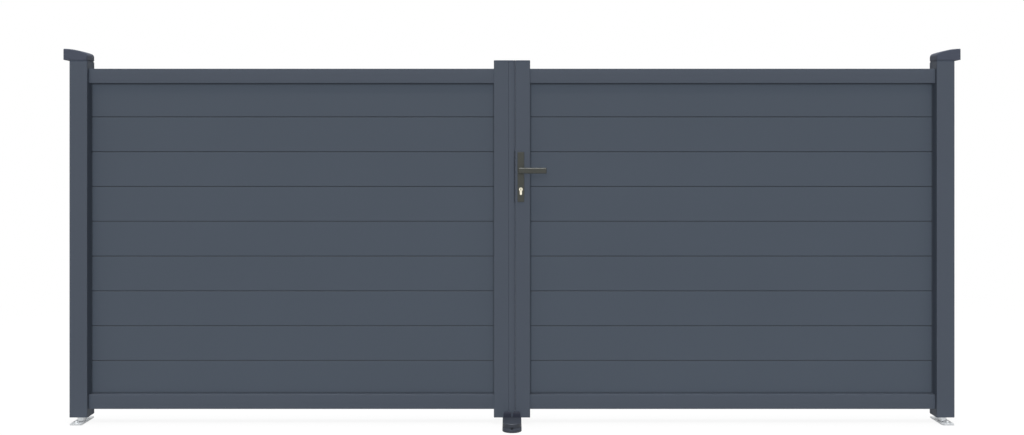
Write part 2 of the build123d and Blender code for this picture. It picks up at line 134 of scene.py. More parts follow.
@dataclass(frozen=True)
class Finish(ABC):
    """A surface finish that becomes one material.

    Patterns are laid out in Object coordinates, and every scale comes from a real size in millimetres.
    The tone swings by a share of the colour, the gloss by a step in roughness, the relief by its real height.
    """

    name: str
    colour: str
    metallic: float
    roughness: float
    specular: float = 0.5
    tone_swing: float = 0.05
    gloss_swing: float = 0.05
    relief_mm: float = 0.05
    relief_share: float = 0.35

    def material(self) -> bpy.types.Material:
        """Build the material, or find the one that this finish already has.

        Returns:
            The material of this finish.
        """
        known = bpy.data.materials.get(self.name)
        if known is not None:
            return known
        material = bpy.data.materials.new(self.name)
        material.use_nodes = True
        material.diffuse_color = linear(self.colour)
        tree = material.node_tree
        shader = tree.nodes["Principled BSDF"].inputs
        shader["Metallic"].default_value = self.metallic
        shader["Roughness"].default_value = self.roughness
        shader["Specular IOR Level"].default_value = self.specular
        shader["Base Color"].default_value = linear(self.colour)
        place = add_node(tree, "ShaderNodeTexCoord").outputs["Object"]
        patterns = self.patterns(tree, place)
        tone = add_node(tree, "ShaderNodeMapRange", {
            "Value": patterns.tone, "To Min": 1.0 - self.tone_swing, "To Max": 1.0 + self.tone_swing,
        })
        colour = add_node(tree, "ShaderNodeHueSaturation", {
            "Color": linear(self.colour), "Value": tone.outputs["Result"],
        })
        gloss = add_node(tree, "ShaderNodeMapRange", {
            "Value": patterns.gloss,
            "To Min": self.roughness - self.gloss_swing,
            "To Max": self.roughness + self.gloss_swing,
        })
        relief = add_node(tree, "ShaderNodeBump", {
            "Height": patterns.height, "Distance": self.relief_mm * MM, "Strength": self.relief_share,
        })
        tree.links.new(self.with_painted_shade(tree, colour.outputs["Color"]), shader["Base Color"])
        tree.links.new(gloss.outputs["Result"], shader["Roughness"])
        tree.links.new(relief.outputs["Normal"], shader["Normal"])
        return material

    @abstractmethod
    def patterns(self, tree: bpy.types.NodeTree, place: bpy.types.NodeSocket) -> Patterns:
        """Lay out the patterns that the eye sees beyond one flat colour.

        Args:
            tree: Material tree.
            place: Socket with the Object coordinates.

        Returns:
            The sockets of the patterns.
        """

    def with_painted_shade(self, tree: bpy.types.NodeTree, colour: bpy.types.NodeSocket) -> bpy.types.NodeSocket:
        """Return the colour as it is, for a finish with no painted shade."""
        return colour


@dataclass(frozen=True)
class PowderCoat(Finish):
    """Baked polyester powder on aluminium: a satin skin with fine grain and a faint orange peel."""

    tone_swing: float = 0.035
    drift_mm: float = 420.0
    # Real powder leaves a grain of about 0.2 mm and a peel of 2 to 3 mm: both are drawn coarser to show.
    grain_mm: float = 1.2
    peel_mm: float = 7.0
    grain_detail: float = 1.0

    def patterns(self, tree: bpy.types.NodeTree, place: bpy.types.NodeSocket) -> Patterns:
        """Lay out a drift in tone over the length, and grain over orange peel in gloss and relief.

        Args:
            tree: Material tree.
            place: Socket with the Object coordinates.

        Returns:
            The sockets of the patterns.
        """
        drift = add_node(tree, "ShaderNodeTexNoise", {"Vector": place, "Scale": per_metre(self.drift_mm)})
        peel = add_node(tree, "ShaderNodeTexNoise", {"Vector": place, "Scale": per_metre(self.peel_mm)})
        grain = add_node(tree, "ShaderNodeTexNoise", {
            "Vector": place, "Scale": per_metre(self.grain_mm), "Detail": self.grain_detail,
        })
        height = add_node(
            tree, "ShaderNodeMath", {0: grain.outputs["Fac"], 1: peel.outputs["Fac"]}, operation="ADD"
        )
        return Patterns(drift.outputs["Fac"], peel.outputs["Fac"], height.outputs["Value"])


@dataclass(frozen=True)
class BoardCoat(PowderCoat):
    """Powder coat on boards with painted shade: an ambient occlusion node darkens the narrow joints and the
    board ends beside other parts.
    """

    painted_shade_reach_mm: float = 9.0
    painted_shade_open: float = 0.97
    painted_shade_close: float = 0.62
    painted_shade_depth: float = 0.50

    def with_painted_shade(self, tree: bpy.types.NodeTree, colour: bpy.types.NodeSocket) -> bpy.types.NodeSocket:
        """Paint shade into the colour towards the bottom of narrow joints and where boards meet other parts.

        Args:
            tree: Material tree.
            colour: Socket with the colour of the coat without its painted shade.

        Returns:
            Socket with the colour and its painted shade.
        """
        # Painted shade: ambient occlusion darkens the coat where boards meet each other and other parts.
        opening = add_node(tree, "ShaderNodeAmbientOcclusion", {"Distance": self.painted_shade_reach_mm * MM})
        shade = add_node(tree, "ShaderNodeMapRange", {
            "Value": opening.outputs["AO"],
            "From Min": self.painted_shade_close,
            "From Max": self.painted_shade_open,
            "To Min": self.painted_shade_depth,
            "To Max": 1.0,
        })
        painted_shade_colour = add_node(tree, "ShaderNodeHueSaturation", {"Color": colour, "Value": shade.outputs["Result"]})
        return painted_shade_colour.outputs["Color"]


@dataclass(frozen=True)
class BrushedMetal(Finish):
    """Metal rubbed one way with an abrasive belt, or turned: parallel lines that streak the reflections."""

    tone_swing: float = 0.12
    gloss_swing: float = 0.10
    relief_mm: float = 0.02
    relief_share: float = 0.25
    # Real belt lines are about 0.05 mm apart: they are drawn coarser to show.
    line_mm: float = 0.5
    line_detail: float = 3.0
    stretch: float = 40.0
    along: int = 2

    def patterns(self, tree: bpy.types.NodeTree, place: bpy.types.NodeSocket) -> Patterns:
        """Lay out long thin streaks along one axis, in tone, gloss and relief.

        Args:
            tree: Material tree.
            place: Socket with the Object coordinates.

        Returns:
            The sockets of the patterns.
        """
        scale = [1.0, 1.0, 1.0]
        scale[self.along] = 1 / self.stretch
        stretched = add_node(tree, "ShaderNodeMapping", {"Vector": place, "Scale": scale})
        streak = add_node(tree, "ShaderNodeTexNoise", {
            "Vector": stretched.outputs["Vector"],
            "Scale": per_metre(self.line_mm),
            "Detail": self.line_detail,
        }).outputs["Fac"]
        return Patterns(streak, streak, streak)


@dataclass(frozen=True)
class Galvanised(Finish):
    """Hot-dip zinc on steel: pale crystals a few millimetres across, each with its own tone and gloss."""

    tone_swing: float = 0.08
    gloss_swing: float = 0.12
    relief_share: float = 0.3
    spangle_mm: float = 9.0
    ripple_mm: float = 4.5

    def patterns(self, tree: bpy.types.NodeTree, place: bpy.types.NodeSocket) -> Patterns:
        """Lay out flat crystal cells in tone and gloss, over the ripple of the drained zinc.

        Args:
            tree: Material tree.
            place: Socket with the Object coordinates.

        Returns:
            The sockets of the patterns.
        """
        cells = add_node(tree, "ShaderNodeTexVoronoi", {"Vector": place, "Scale": per_metre(self.spangle_mm)})
        grey = add_node(tree, "ShaderNodeRGBToBW", {"Color": cells.outputs["Color"]}).outputs["Val"]
        ripple = add_node(tree, "ShaderNodeTexNoise", {"Vector": place, "Scale": per_metre(self.ripple_mm)})
        return Patterns(grey, grey, ripple.outputs["Fac"])


@dataclass(frozen=True)
class Moulded(Finish):
    """Moulded or extruded rubber or nylon: an even fine grain with no shine of its own."""

    tone_swing: float = 0.06
    gloss_swing: float = 0.06
    relief_mm: float = 0.06
    relief_share: float = 0.4
    mottle_mm: float = 30.0
    # Real spark-eroded grain is about 0.1 mm: it is drawn coarser to show.
    grain_mm: float = 0.9

    def patterns(self, tree: bpy.types.NodeTree, place: bpy.types.NodeSocket) -> Patterns:
        """Lay out a slight mottle in the tone, and the grain in gloss and relief.

        Args:
            tree: Material tree.
            place: Socket with the Object coordinates.

        Returns:
            The sockets of the patterns.
        """
        mottle = add_node(tree, "ShaderNodeTexNoise", {"Vector": place, "Scale": per_metre(self.mottle_mm)})
        grain = add_node(tree, "ShaderNodeTexNoise", {"Vector": place, "Scale": per_metre(self.grain_mm)})
        return Patterns(mottle.outputs["Fac"], grain.outputs["Fac"], grain.outputs["Fac"])


# Powder baked on extruded aluminium: an even satin skin that shows form by soft shading, not by shine.
FRAME_COAT = PowderCoat("powder_coated_aluminium_frame", "#464d58", 0.0, 0.58, 0.3)
# The same coat on the hollow boards: as even, with painted shade that darkens the fine lines where two boards
# meet and the board ends beside other parts.
BOARD_COAT = BoardCoat("powder_coated_aluminium_boards", "#464e59", 0.0, 0.58, 0.3)
# Thick powder on sand-cast aluminium: coarser and duller than the extrusions beside it.
CAST_COAT = PowderCoat(
    "powder_coated_cast_aluminium", "#474c59", 0.0, 0.58, 0.2, relief_mm=0.12, grain_mm=2.0, peel_mm=5.0
)
# The same cast coat on the floor stop, painted darker as painted shade for its faces near the ground; a weak
# gleam along its rounded edges.
STOP_COAT_PAINTED_SHADE = PowderCoat(
    "powder_coated_stop_casting_painted_shade", "#33373f", 0.0, 0.50, 0.35, relief_mm=0.12, grain_mm=2.0, peel_mm=5.0
)
# Bronze lacquer on a die-cast handle: smooth and half glossy, so that a top edge catches a thin light line.
FURNITURE_COAT = PowderCoat(
    "bronze_coated_cast_handle", "#333530", 0.0, 0.32, 0.5, tone_swing=0.05, drift_mm=60.0, grain_mm=0.8
)
# Satin nickel on brass: the brightest spot of the gate, a little warm, with blurred reflections.
NICKEL = BrushedMetal("satin_nickel_on_brass", "#fbf4de", 1.0, 0.30, line_mm=0.3, along=0)
# Stainless steel rubbed with a belt: mid grey, with streaks along its length.
STAINLESS = BrushedMetal("brushed_stainless_steel", "#a7a8a8", 1.0, 0.34)
# Zinc plate on turned steel: cool grey with turning lines across the pin.
ZINC_PIN = BrushedMetal("zinc_plated_turned_steel", "#b4b5b3", 1.0, 0.30, line_mm=0.6, along=0)
# Hot-dip zinc on the ground plates: pale, half dull and mottled by its crystals.
GALVANISED = Galvanised("hot_dip_galvanised_steel", "#cfd2d4", 0.35, 0.45)
# Nylon moulded in the colour of the coat: the same tone with hardly any shine.
NYLON = Moulded("moulded_grey_nylon", "#444b57", 0.0, 0.60, 0.2)
# Extruded rubber in the colour of the coat: matt, so that the gap reads as a soft shaded line.
RUBBER = Moulded("extruded_epdm_rubber", "#454b56", 0.0, 0.75, 0.2)
# Seal rubber beside the lock, darker than the rest of the seal: painted shade for the deep gap next to the
# plate.
LOCK_RUBBER_PAINTED_SHADE = Moulded("lock_seal_rubber_painted_shade", "#343942", 0.0, 0.75, 0.2)
# Moulded buffer rubber, nearly black: real buffers whose dark tone is also painted shade for the contact
# shadow above the floor stop; no gleam on their edges.
BUFFER_RUBBER_AND_SHADE = Moulded("moulded_buffer_rubber_and_shade", "#282b37", 0.0, 0.75, 0.25)
# Black oxide on turned steel: dark with a weak oily gleam.
BLACK_OXIDE = BrushedMetal("black_oxide_turned_steel", "#1c1d20", 0.6, 0.50, line_mm=0.6, along=0)
# Painted shade: a near-black block over the plug stands for the shadow inside the keyway, which is not cut.
KEYWAY_PAINTED_SHADE = Moulded("keyway_painted_shade", "#0d0c0a", 0.0, 0.80)

SLOT_FINISH: dict[str, Finish] = {
    "frame": FRAME_COAT,
    "boards": BOARD_COAT,
    "cast_fitting": CAST_COAT,
    "stop_casting": STOP_COAT_PAINTED_SHADE,
    "end_plastic": NYLON,
    "furniture": FURNITURE_COAT,
    "cylinder_brass": NICKEL,
    "lock_steel": STAINLESS,
    "pin_steel": ZINC_PIN,
    "galvanised_steel": GALVANISED,
    "buffer_rubber": BUFFER_RUBBER_AND_SHADE,
}


def smoothed(
    tree: bpy.types.NodeTree, geometry: bpy.types.NodeSocket, limit_deg: float
) -> bpy.types.NodeSocket:
    """Smooth the round faces of a mesh and keep its edges sharp.

    Args:
        tree: Geometry Nodes tree.
        geometry: Socket with the mesh.
        limit_deg: Angle between two faces above which their edge stays sharp.

    Returns:
        Socket with the smoothed mesh.
    """
    faces = add_node(tree, "GeometryNodeSetShadeSmooth", {"Geometry": geometry, "Shade Smooth": True})
    angle = add_node(tree, "GeometryNodeInputMeshEdgeAngle").outputs["Unsigned Angle"]
    sharp = add_node(tree, "FunctionNodeCompare", {0: angle, 1: math.radians(limit_deg)})
    edges = add_node(tree, "GeometryNodeSetShadeSmooth", {
        "Geometry": faces.outputs[0], "Selection": sharp.outputs["Result"], "Shade Smooth": False,
    }, domain="EDGE")
    return edges.outputs[0]


class NodeTool:
    """A Geometry Nodes tree with named inputs that is run once and leaves a plain mesh."""

    sharp_deg: float = 32.0

    def __init__(self, name: str, sizes: dict[str, str]) -> None:
        """Start the tree.

        Args:
            name: Name of the tree.
            sizes: Input name to its socket type, after the geometry.
        """
        self.tree = bpy.data.node_groups.new(name, "GeometryNodeTree")
        self.tree.interface.new_socket("Geometry", in_out="INPUT", socket_type="NodeSocketGeometry")
        self.keys: dict[str, str] = {}
        for label, kind in sizes.items():
            socket = self.tree.interface.new_socket(label, in_out="INPUT", socket_type=kind)
            self.keys[label] = socket.identifier
        self.tree.interface.new_socket("Geometry", in_out="OUTPUT", socket_type="NodeSocketGeometry")
        self.entry = add_node(self.tree, "NodeGroupInput").outputs

    def close(self, geometry: bpy.types.NodeSocket) -> None:
        """Realize the instances, smooth the round faces, set the material and end the tree.

        Args:
            geometry: Socket with the finished geometry.
        """
        real = add_node(self.tree, "GeometryNodeRealizeInstances", {"Geometry": geometry})
        painted = add_node(self.tree, "GeometryNodeSetMaterial", {
            "Geometry": smoothed(self.tree, real.outputs[0], self.sharp_deg),
            "Material": self.entry["Material"],
        })
        add_node(self.tree, "NodeGroupOutput", {"Geometry": painted.outputs[0]})

    def run(self, name: str, points: Iterable[Vector], values: dict[str, Any]) -> bpy.types.Object:
        """Run the tree on a set of points and keep the result as a plain mesh.

        Args:
            name: Name of the new piece.
            points: Places in the gate's frame, in metres.
            values: Value of each named input.

        Returns:
            The finished piece, at the origin.
        """
        seed = bpy.data.meshes.new(f"{name}_points")
        seed.from_pydata([tuple(point) for point in points], [], [])
        carrier = bpy.data.objects.new(f"{name}_carrier", seed)
        bpy.context.scene.collection.objects.link(carrier)
        modifier = carrier.modifiers.new("tree", "NODES")
        modifier.node_group = self.tree
        for label, value in values.items():
            modifier[self.keys[label]] = value
        bpy.context.view_layer.update()
        graph = bpy.context.evaluated_depsgraph_get()
        mesh = bpy.data.meshes.new_from_object(carrier.evaluated_get(graph))
        carrier.modifiers.clear()
        bpy.data.objects.remove(carrier)
        mesh.name = name
        piece = bpy.data.objects.new(name, mesh)
        bpy.context.scene.collection.objects.link(piece)
        return piece


class FastenerTool(NodeTool):
    """Screw or bolt heads on washers, one on each point."""

    washer_sides: int = 32
    socket_sides: int = 6

    def __init__(self) -> None:
        """Build the tree: a washer, a head with a chamfered crown and a six-sided socket cut into it."""
        super().__init__("fastener_heads", {
            "Washer Radius": "NodeSocketFloat",
            "Washer Depth": "NodeSocketFloat",
            "Washer Middle": "NodeSocketVector",
            "Head Radius": "NodeSocketFloat",
            "Head Depth": "NodeSocketFloat",
            "Head Middle": "NodeSocketVector",
            "Crown Base": "NodeSocketFloat",
            "Crown Top": "NodeSocketFloat",
            "Crown Depth": "NodeSocketFloat",
            "Crown Foot": "NodeSocketVector",
            "Socket Radius": "NodeSocketFloat",
            "Socket Depth": "NodeSocketFloat",
            "Socket Middle": "NodeSocketVector",
            "Sides": "NodeSocketInt",
            "Facing": "NodeSocketVector",
            "Material": "NodeSocketMaterial",
        })
        entry = self.entry
        sides = {"Washer": self.washer_sides, "Head": entry["Sides"], "Socket": self.socket_sides}
        meshes = {}
        for part, count in sides.items():
            disc = add_node(self.tree, "GeometryNodeMeshCylinder", {
                "Vertices": count, "Radius": entry[f"{part} Radius"], "Depth": entry[f"{part} Depth"],
            })
            lifted = add_node(self.tree, "GeometryNodeTransform", {
                "Geometry": disc.outputs["Mesh"], "Translation": entry[f"{part} Middle"],
            })
            meshes[part] = lifted.outputs["Geometry"]
        cone = add_node(self.tree, "GeometryNodeMeshCone", {
            "Vertices": entry["Sides"],
            "Radius Top": entry["Crown Top"],
            "Radius Bottom": entry["Crown Base"],
            "Depth": entry["Crown Depth"],
        })
        crown = add_node(self.tree, "GeometryNodeTransform", {
            "Geometry": cone.outputs["Mesh"], "Translation": entry["Crown Foot"],
        })
        solid = add_node(
            self.tree, "GeometryNodeMeshBoolean", {"Mesh": meshes["Head"]}, operation="UNION", solver="EXACT"
        )
        self.tree.links.new(crown.outputs["Geometry"], solid.inputs["Mesh 2"])
        cut = add_node(
            self.tree, "GeometryNodeMeshBoolean", {"Mesh 1": solid.outputs["Mesh"]},
            operation="DIFFERENCE", solver="EXACT",
        )
        self.tree.links.new(meshes["Socket"], cut.inputs["Mesh 2"])
        whole = add_node(self.tree, "GeometryNodeJoinGeometry", {"Geometry": meshes["Washer"]})
        self.tree.links.new(cut.outputs["Mesh"], whole.inputs["Geometry"])
        turn = add_node(self.tree, "FunctionNodeEulerToRotation", {"Euler": entry["Facing"]})
        placed = add_node(self.tree, "GeometryNodeInstanceOnPoints", {
            "Points": entry["Geometry"],
            "Instance": whole.outputs["Geometry"],
            "Rotation": turn.outputs["Rotation"],
        })
        self.close(placed.outputs["Instances"])


class StripTool(NodeTool):
    """A straight extruded strip with rounded edges that runs on from each point."""

    edge_steps: int = 4

    def __init__(self) -> None:
        """Build the tree: a rounded profile swept along a straight line, one on each point."""
        super().__init__("extruded_strip", {
            "Width": "NodeSocketFloat",
            "Depth": "NodeSocketFloat",
            "Run": "NodeSocketVector",
            "Edge Radius": "NodeSocketFloat",
            "Material": "NodeSocketMaterial",
        })
        entry = self.entry
        outline = add_node(self.tree, "GeometryNodeCurvePrimitiveQuadrilateral", {
            "Width": entry["Width"], "Height": entry["Depth"],
        })
        rounded = add_node(self.tree, "GeometryNodeFilletCurve", {
            "Curve": outline.outputs["Curve"], "Radius": entry["Edge Radius"], "Count": self.edge_steps,
        }, mode="POLY")
        line = add_node(self.tree, "GeometryNodeCurvePrimitiveLine", {"End": entry["Run"]})
        swept = add_node(self.tree, "GeometryNodeCurveToMesh", {
            "Curve": line.outputs["Curve"], "Profile Curve": rounded.outputs["Curve"], "Fill Caps": True,
        })
        placed = add_node(self.tree, "GeometryNodeInstanceOnPoints", {
            "Points": entry["Geometry"], "Instance": swept.outputs["Mesh"],
        })
        self.close(placed.outputs["Instances"])


class SkinTool:
    """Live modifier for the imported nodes: it welds their loose triangles and smooths round faces."""

    weld_mm: float = 0.002
    sharp_deg: float = 28.0

    def __init__(self) -> None:
        """Build the tree once for all nodes."""
        self.tree = bpy.data.node_groups.new("weld_and_smooth", "GeometryNodeTree")
        self.tree.interface.new_socket("Geometry", in_out="INPUT", socket_type="NodeSocketGeometry")
        self.tree.interface.new_socket("Geometry", in_out="OUTPUT", socket_type="NodeSocketGeometry")
        entry = add_node(self.tree, "NodeGroupInput").outputs
        weld = add_node(self.tree, "GeometryNodeMergeByDistance", {
            "Geometry": entry["Geometry"], "Distance": self.weld_mm * MM,
        })
        smooth = smoothed(self.tree, weld.outputs["Geometry"], self.sharp_deg)
        add_node(self.tree, "NodeGroupOutput", {"Geometry": smooth})

    def apply(self, node: bpy.types.Object) -> None:
        """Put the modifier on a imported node."""
        node.modifiers.new("weld_and_smooth", "NODES").node_group = self.tree


def keep(piece: bpy.types.Object, body: Body) -> None:
    """Attach a finished piece to its body and log its face count.

    Args:
        piece: Finished mesh object at the origin.
        body: Body that carries it.
    """
    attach(piece, body.value)
    LOG.info("%s rides %s with %d faces", piece.name, body.value, len(piece.data.polygons))


@dataclass
class PackedNodes:
    """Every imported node, dressed in the finish of its material slot."""

    skin: SkinTool

    def dress(self) -> None:
        """Give each node its finish and a smooth skin."""
        slots = {row["node"]: row["material_slot"] for row in frame["record"]["subparts"]}
        for name, node in frame["nodes"].items():
            finish = SLOT_FINISH[slots[name]]
            node.data.materials.clear()
            node.data.materials.append(finish.material())
            self.skin.apply(node)
            LOG.info("%s dressed in %s", name, finish.name)


@dataclass
class MeetingSeal:
    """Rubber seal that closes the gap between the leaves, carried by the left leaf's strip."""

    tool: StripTool
    touch_mm: float = 0.3
    front_setback_mm: float = 0.2
    front_depth_mm: float = 7.0
    rear_setback_mm: float = 6.0
    rear_depth_mm: float = 9.0
    lock_margin_mm: float = 4.0
    lock_setback_mm: float = 4.0
    edge_mm: float = 0.8

    def build(self) -> None:
        """Build the front lip, which is set back beside the lock, and the rear lip over the whole height."""
        strip_low, strip_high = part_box("meeting_strip")
        stile_low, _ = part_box("right_meeting_stile")
        plate_low, plate_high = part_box("lock_front_plate")
        caps_low, caps_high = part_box("left_meeting_stile_caps")
        width = stile_low.x - strip_high.x - self.touch_mm * MM
        middle = strip_high.x + width / 2
        front = strip_low.y + (self.front_setback_mm + self.front_depth_mm / 2) * MM
        recess = front + self.lock_setback_mm * MM
        rear = strip_high.y - (self.rear_setback_mm + self.rear_depth_mm / 2) * MM
        lower_end = plate_low.z - self.lock_margin_mm * MM
        upper_start = plate_high.z + self.lock_margin_mm * MM
        stretches = {
            "meeting_seal_lower": (front, self.front_depth_mm, caps_low.z, lower_end, RUBBER),
            "meeting_seal_upper": (front, self.front_depth_mm, upper_start, caps_high.z, RUBBER),
            # Beside the lock the front lip is set back and its rubber carries painted shade.
            "meeting_seal_lock": (recess, self.front_depth_mm, lower_end, upper_start, LOCK_RUBBER_PAINTED_SHADE),
            "meeting_seal_rear": (rear, self.rear_depth_mm, caps_low.z, caps_high.z, RUBBER),
        }
        for name, (y, depth_mm, low, high, finish) in stretches.items():
            piece = self.tool.run(name, [Vector((middle, y, low))], {
                "Width": width,
                "Depth": depth_mm * MM,
                "Run": (0.0, 0.0, high - low),
                "Edge Radius": self.edge_mm * MM,
                "Material": finish.material(),
            })
            keep(piece, Body.LEFT_LEAF)


@dataclass(frozen=True)
class Fastener:
    """Sizes of one kind of screw or bolt head, in millimetres; crown and socket are shares of the head."""

    head_radius: float
    head_height: float
    washer_radius: float
    washer_thickness: float
    socket_radius: float
    sides: int
    finish: Finish
    crown_height: float = 0.324
    crown_base: float = 0.985
    crown_top: float = 0.72
    crown_sink: float = 0.03
    socket_floor: float = 0.55

    def values(self, facing: Facing) -> dict[str, Any]:
        """Work out the inputs of the fastener tree for this kind and direction.

        Args:
            facing: Direction that the heads point to.

        Returns:
            Input name to value, with lengths in metres.
        """
        half_head = self.head_height / 2
        head_middle = self.washer_thickness + half_head
        crown_foot = self.washer_thickness + self.head_height * (1 - self.crown_sink)
        socket_middle = self.washer_thickness + self.head_height * self.socket_floor + half_head
        return {
            "Washer Radius": self.washer_radius * MM,
            "Washer Depth": self.washer_thickness * MM,
            "Washer Middle": (0.0, 0.0, self.washer_thickness / 2 * MM),
            "Head Radius": self.head_radius * MM,
            "Head Depth": self.head_height * MM,
            "Head Middle": (0.0, 0.0, head_middle * MM),
            "Crown Base": self.head_radius * self.crown_base * MM,
            "Crown Top": self.head_radius * self.crown_top * MM,
            "Crown Depth": self.head_height * self.crown_height * MM,
            "Crown Foot": (0.0, 0.0, crown_foot * MM),
            "Socket Radius": self.socket_radius * MM,
            "Socket Depth": self.head_height * MM,
            "Socket Middle": (0.0, 0.0, socket_middle * MM),
            "Sides": self.sides,
            "Facing": facing.value,
            "Material": self.finish.material(),
        }


ANCHOR_M10 = Fastener(9.2, 6.0, 10.2, 1.6, 3.0, 6, GALVANISED)
ANCHOR_M8 = Fastener(7.0, 5.0, 8.4, 1.4, 2.4, 6, ZINC_PIN)
STOP_SCREW = Fastener(5.2, 3.4, 6.2, 0.8, 2.6, 32, BLACK_OXIDE)
PLATE_SCREW = Fastener(4.2, 1.6, 4.6, 0.3, 1.8, 32, STAINLESS)
FLUSH_SCREW = Fastener(4.0, 0.5, 4.2, 0.1, 1.8, 32, ZINC_PIN)


@dataclass
class Fasteners:
    """Screws and anchors of all pieces, one mesh for each body and kind."""

    tool: FastenerTool
    ground_spacing_mm: float = 105.0
    stop_front_y_mm: float = -172.0
    stop_rear_y_mm: float = 30.0
    bracket_spacing_mm: float = 42.0
    bracket_height_mm: float = 23.0
    plate_edge_mm: float = 13.0
    forend_edge_mm: float = 9.0
    ground_plate_mm: float = 6.0
    stop_flange_mm: float = 10.0
    bracket_wall_mm: float = 7.0

    def build(self) -> None:
        """Build every group of fasteners."""
        self.ground_anchors()
        self.stop_screws()
        self.bracket_anchors()
        self.lock_screws()

    def ground_anchors(self) -> None:
        """Set two anchors through each ground plate, in front of and behind the stile."""
        points = []
        for side in ("left", "right"):
            low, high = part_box(f"{side}_ground_pivot")
            for sign in (-1, 1):
                y = sign * self.ground_spacing_mm / 2 * MM
                points.append(Vector(((low.x + high.x) / 2, y, self.ground_plate_mm * MM)))
        piece = self.tool.run("ground_anchors", points, ANCHOR_M10.values(Facing.UP))
        keep(piece, Body.FIXED)

    def stop_screws(self) -> None:
        """Set one screw in the floor stop's nose and one in its tail."""
        height = self.stop_flange_mm * MM
        points = [Vector((0, y * MM, height)) for y in (self.stop_front_y_mm, self.stop_rear_y_mm)]
        piece = self.tool.run("stop_screws", points, STOP_SCREW.values(Facing.UP))
        keep(piece, Body.FIXED)

    def bracket_anchors(self) -> None:
        """Set two anchors inside the hood of each upper bracket."""
        for side, facing, sign in (("left", Facing.RIGHT, 1), ("right", Facing.LEFT, -1)):
            low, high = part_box(f"{side}_upper_bracket")
            wall = low.x if sign > 0 else high.x
            x = wall + sign * self.bracket_wall_mm * MM
            z = low.z + self.bracket_height_mm * MM
            points = [Vector((x, step * self.bracket_spacing_mm / 2 * MM, z)) for step in (-1, 1)]
            piece = self.tool.run(f"{side}_bracket_anchors", points, ANCHOR_M8.values(facing))
            keep(piece, Body.FIXED)

    def lock_screws(self) -> None:
        """Set the screws of the back plate, of the lock's forend and of the strike."""
        low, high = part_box("lock_back_plate")
        x = (low.x + high.x) / 2
        edge = self.plate_edge_mm * MM
        points = [Vector((x, high.y, z)) for z in (low.z + edge, high.z - edge)]
        piece = self.tool.run("back_plate_screws", points, PLATE_SCREW.values(Facing.INSIDE))
        keep(piece, Body.RIGHT_LEAF)
        margin = self.forend_edge_mm * MM
        low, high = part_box("lock_case")
        points = [Vector((low.x, 0, z)) for z in (low.z + margin, high.z - margin)]
        piece = self.tool.run("forend_screws", points, FLUSH_SCREW.values(Facing.LEFT))
        keep(piece, Body.RIGHT_LEAF)
        low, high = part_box("strike_plate")
        points = [Vector((high.x, 0, z)) for z in (low.z + margin, high.z - margin)]
        piece = self.tool.run("strike_screws", points, FLUSH_SCREW.values(Facing.RIGHT))
        keep(piece, Body.LEFT_LEAF)


@dataclass
class CylinderFace:
    """Turning plug with its keyway, on both ends of the lock cylinder."""

    plug_radius_mm: float = 6.3
    plug_proud_mm: float = 0.7
    rim_start: float = 0.6
    rim_radius: float = 0.93
    head_radius_mm: float = 8.0
    keyway_width_mm: float = 3.2
    keyway_height_mm: float = 8.4
    keyway_proud_mm: float = 0.9
    segments: int = 48

    def build(self) -> None:
        """Build both faces as one piece."""
        low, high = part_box("lock_cylinder")
        centre_x = (low.x + high.x) / 2
        centre_z = high.z - self.head_radius_mm * MM
        mesh = bpy.data.meshes.new("cylinder_plugs")
        work = bmesh.new()
        for face_y, outward in ((low.y, -1), (high.y, 1)):
            centre = Vector((centre_x, face_y, centre_z))
            self.plug(work, centre, outward)
            self.keyway(work, centre, outward)
        bmesh.ops.recalc_face_normals(work, faces=work.faces)
        work.to_mesh(mesh)
        work.free()
        mesh.materials.append(NICKEL.material())
        mesh.materials.append(KEYWAY_PAINTED_SHADE.material())
        piece = bpy.data.objects.new("cylinder_plugs", mesh)
        bpy.context.scene.collection.objects.link(piece)
        keep(piece, Body.RIGHT_LEAF)

    def plug(self, work: bmesh.types.BMesh, centre: Vector, outward: int) -> None:
        """Add a flat disc with a chamfered rim.

        Args:
            work: Mesh that is being built.
            centre: Middle of the cylinder's end face.
            outward: Sign of Y that points away from the lock.
        """
        steps = [
            (self.plug_radius_mm, 0.0),
            (self.plug_radius_mm, self.rim_start * self.plug_proud_mm),
            (self.rim_radius * self.plug_radius_mm, self.plug_proud_mm),
        ]
        rings = []
        for radius, rise in steps:
            ring = []
            for index in range(self.segments):
                turn = 2 * math.pi * index / self.segments
                offset = Vector((math.cos(turn) * radius, outward * rise, math.sin(turn) * radius))
                ring.append(work.verts.new(centre + offset * MM))
            rings.append(ring)
        for inner, outer in zip(rings, rings[1:]):
            for index in range(self.segments):
                after = (index + 1) % self.segments
                work.faces.new((inner[index], inner[after], outer[after], outer[index]))
        work.faces.new(rings[0])
        work.faces.new(rings[-1])

    def keyway(self, work: bmesh.types.BMesh, centre: Vector, outward: int) -> None:
        """Add a near-black block over the plug: painted shade for the keyway's recess.

        Args:
            work: Mesh that is being built.
            centre: Middle of the cylinder's end face.
            outward: Sign of Y that points away from the lock.
        """
        size = Vector((self.keyway_width_mm, self.keyway_proud_mm, self.keyway_height_mm)) * MM
        middle = centre + Vector((0, outward * size.y / 2, 0))
        made = bmesh.ops.create_cube(work, size=1.0)["verts"]
        for vert in made:
            vert.co = middle + vert.co * size
        for face in {face for vert in made for face in vert.link_faces}:
            face.material_index = 1


